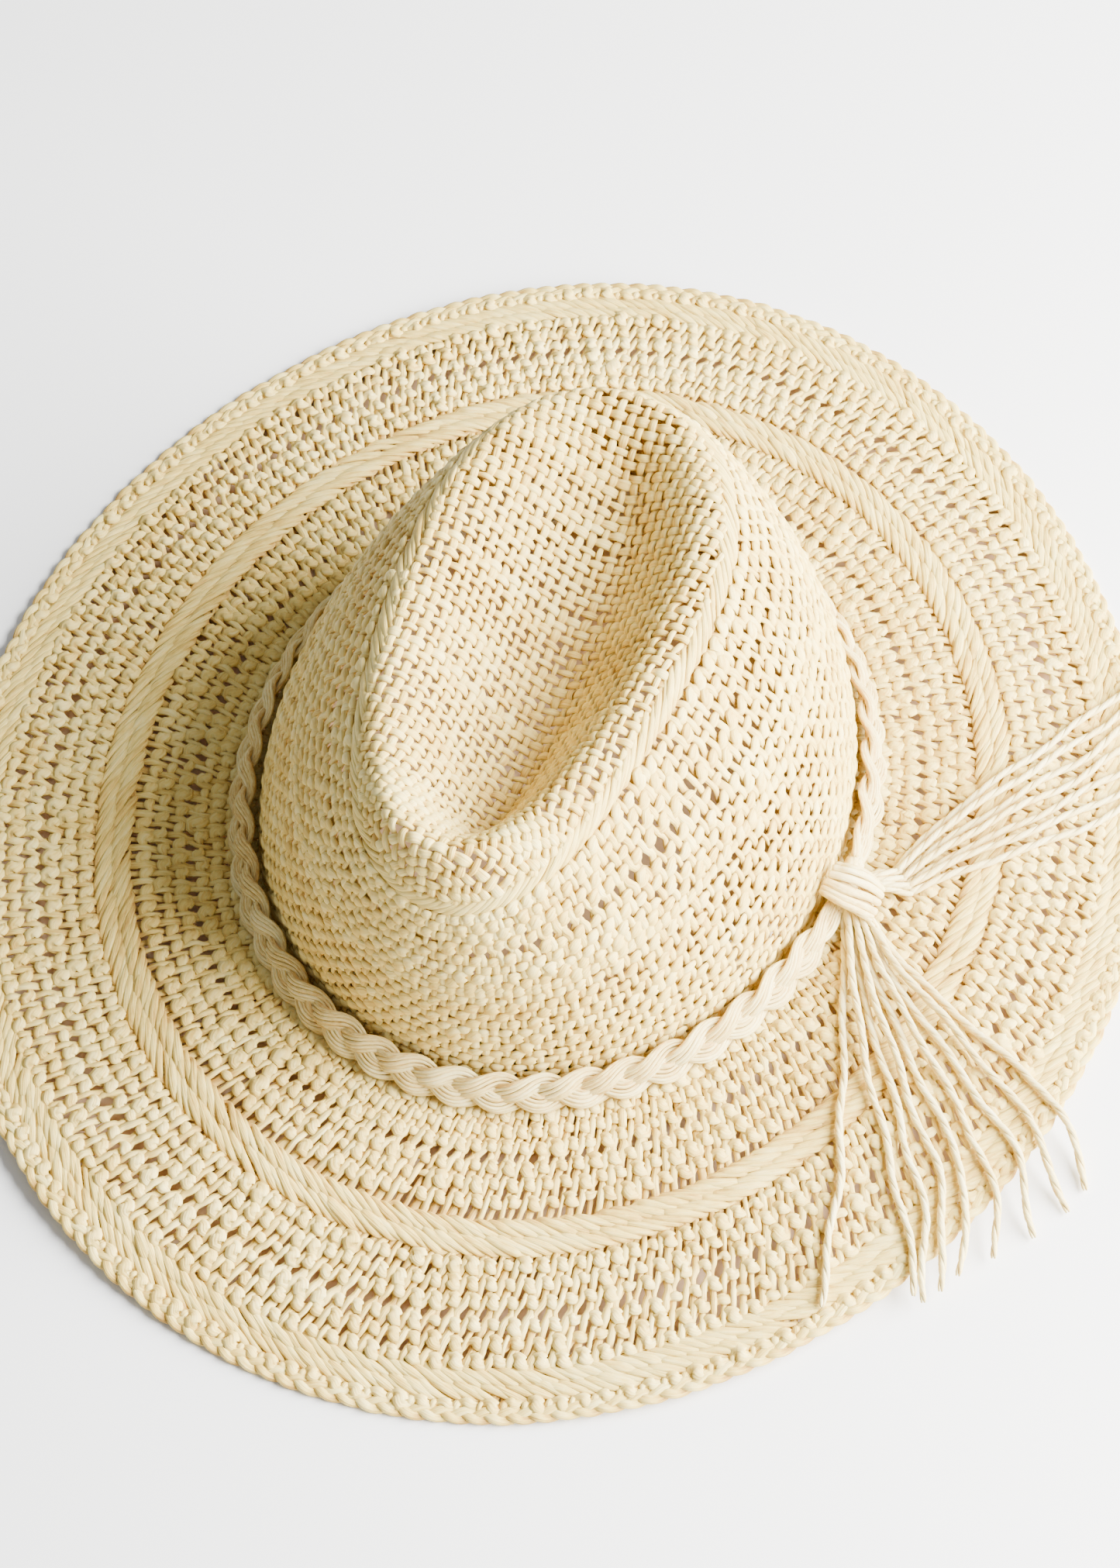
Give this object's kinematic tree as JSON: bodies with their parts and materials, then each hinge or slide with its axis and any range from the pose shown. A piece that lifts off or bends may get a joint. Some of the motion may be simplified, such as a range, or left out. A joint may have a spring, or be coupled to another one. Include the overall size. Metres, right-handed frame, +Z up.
{
  "type": "straw sun hat",
  "caption": "Wide-brimmed woven straw sun hat: dented teardrop crown, flat oval brim, inner sweatband, and a plaited straw band knotted at one side with two loose tassels.",
  "frame": {"origin": "on the surface that the brim rests on, at the middle of the brim's outline", "axes": "+Z up, the front of the hat towards -Y, the wearer's left towards +X"},
  "size_m": [0.3707, 0.408, 0.103],
  "materials": {
    "straw": "woven paper straw, matt with a faint sheen along each strand",
    "band_straw": "twisted paper yarn, matt",
    "ribbon": "ribbed cotton ribbon, matt",
    "thread": "cotton thread"
  },
  "bodies": {
    "hat": {"brim": "straw", "crown": "straw", "sweatband": "ribbon", "sweatband_stitching": "thread"},
    "band": {"band_strand_1": "band_straw", "band_strand_2": "band_straw", "band_strand_3": "band_straw", "knot_over": "band_straw", "knot_under": "band_straw", "front_yarn_1": "band_straw", "front_yarn_2": "band_straw", "front_yarn_3": "band_straw", "front_yarn_4": "band_straw", "front_yarn_5": "band_straw", "front_yarn_6": "band_straw", "front_yarn_7": "band_straw", "front_yarn_8": "band_straw", "front_yarn_9": "band_straw", "side_yarn_1": "band_straw", "side_yarn_2": "band_straw", "side_yarn_3": "band_straw", "side_yarn_4": "band_straw", "side_yarn_5": "band_straw", "side_yarn_6": "band_straw", "side_yarn_7": "band_straw"}
  },
  "joints": [
    {"name": "band_lift", "type": "slide", "parent": "hat", "child": "band", "axis": [0, 0, 1], "range_m": [0, 0.12]}
  ]
}
